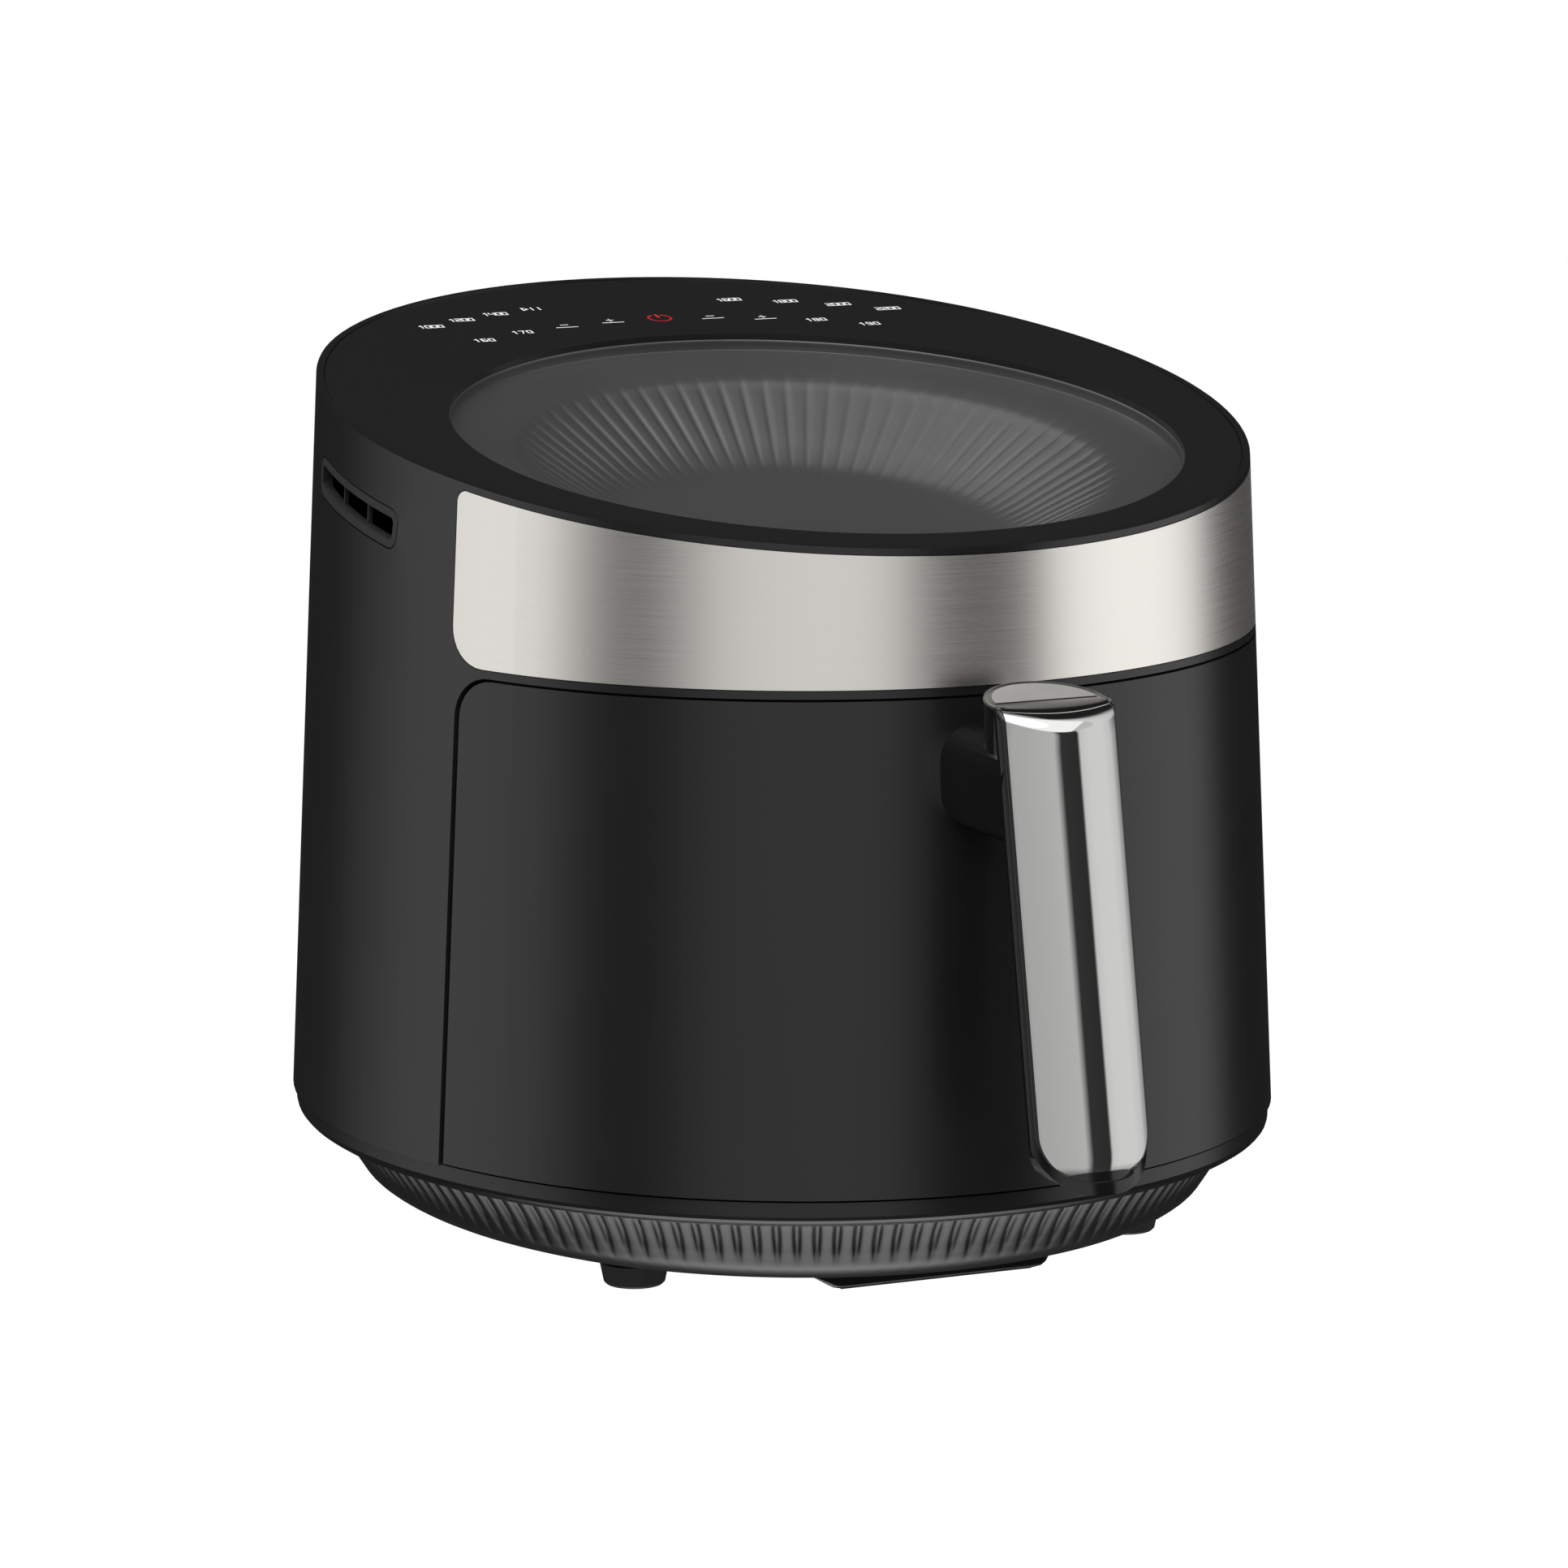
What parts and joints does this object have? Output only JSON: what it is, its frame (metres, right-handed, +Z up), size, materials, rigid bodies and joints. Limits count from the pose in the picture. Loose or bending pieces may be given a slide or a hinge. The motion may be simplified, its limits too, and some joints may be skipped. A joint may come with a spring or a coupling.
{
  "type": "air fryer",
  "caption": "Free-standing oval air fryer with a pull-out pan drawer, upright handle, steel band and slanted touch panel round a fluted dish.",
  "frame": {"origin": "on the floor, under the middle of the oval body", "axes": "+Z up, -Y to the front where the drawer opens, +X to the right as seen from the front"},
  "size_m": [0.33, 0.4457, 0.3038],
  "materials": {
    "housing_plastic": "fine satin",
    "band_steel": "brushed",
    "vent_plastic": "satin",
    "duct_sheet": "plain",
    "gland_rubber": "matte",
    "panel_gloss": "polished",
    "frame_plastic": "plain",
    "dish_finish": "satin",
    "board_green": "plain",
    "display_black": "polished",
    "spring_steel": "plain",
    "ribbon_grey": "plain",
    "liner_steel": "plain",
    "heater_tube": "oxidised",
    "bracket_steel": "plain",
    "guard_wire": "plated",
    "probe_steel": "plain",
    "cutout_ceramic": "plain",
    "motor_plate": "plain",
    "stator_iron": "laminated",
    "coil_copper": "enamelled",
    "bearing_steel": "plain",
    "parts_black": "plain",
    "base_plastic": "satin",
    "rim_plastic": "satin",
    "cover_plastic": "plain",
    "foot_rubber": "matte",
    "screw_steel": "plain",
    "fan_steel": "plain",
    "fan_plastic": "plain",
    "nut_brass": "plain",
    "plunger_plastic": "plain",
    "front_plastic": "fine satin",
    "backing_plastic": "plain",
    "pan_coating": "non-stick",
    "handle_plastic": "polished",
    "trim_chrome": "mirror",
    "bumper_silicone": "matte"
  },
  "bodies": {
    "housing": {"housing_shell": "housing_plastic", "steel_band": "band_steel", "side_vent_left": "vent_plastic", "side_vent_right": "vent_plastic", "exhaust_grille": "vent_plastic", "exhaust_duct": "duct_sheet", "cord_gland": "gland_rubber", "control_glass": "panel_gloss", "top_frame": "frame_plastic", "dish": "dish_finish", "control_board": "board_green", "display_module": "display_black", "touch_springs": "spring_steel", "ribbon_cable": "ribbon_grey", "mid_deck": "frame_plastic", "cavity_liner": "liner_steel", "cavity_floor": "liner_steel", "drawer_rails": "liner_steel", "ceiling_plate": "liner_steel", "heating_element": "heater_tube", "heater_clips": "bracket_steel", "heater_guard": "guard_wire", "thermistor_probe": "probe_steel", "thermal_cutout": "cutout_ceramic", "motor_bracket": "motor_plate", "motor_stator": "stator_iron", "motor_coils": "coil_copper", "motor_cap": "motor_plate", "shaft_bearings": "bearing_steel", "power_board": "board_green", "power_parts": "parts_black", "board_bracket": "frame_plastic", "interlock_switch": "parts_black", "base_frame": "rim_plastic", "fluted_base": "base_plastic", "bottom_cover": "cover_plastic", "rubber_feet": "foot_rubber", "base_screws": "screw_steel"},
    "fan_rotor": {"motor_shaft": "bearing_steel", "rotor_core": "stator_iron", "hot_fan": "fan_steel", "cooling_fan": "fan_plastic", "fan_nut": "nut_brass"},
    "plunger": {"switch_plunger": "plunger_plastic"},
    "drawer": {"drawer_front": "front_plastic", "drawer_backing": "backing_plastic", "pan": "pan_coating", "pan_bracket": "bracket_steel", "switch_tab": "bracket_steel", "handle_frame": "handle_plastic", "handle_trim": "trim_chrome", "handle_screws": "screw_steel"},
    "crisper": {"crisper_plate": "pan_coating", "plate_bumpers": "bumper_silicone"}
  },
  "joints": [
    {"name": "drawer_slide", "type": "slide", "parent": "housing", "child": "drawer", "axis": [0, -1, 0], "range_m": [0, 0.21]},
    {"name": "plate_lift", "type": "slide", "parent": "drawer", "child": "crisper", "axis": [0, 0, 1], "range_m": [0, 0.1]},
    {"name": "fan_spin", "type": "hinge", "parent": "housing", "child": "fan_rotor", "pos_m": [0, -0.01, 0.2], "axis": [0, 0, 1], "continuous": true},
    {"name": "plunger_press", "type": "slide", "parent": "housing", "child": "plunger", "axis": [0, 1, 0], "range_m": [0, 0.003], "stiffness_N_per_m": 300}
  ]
}
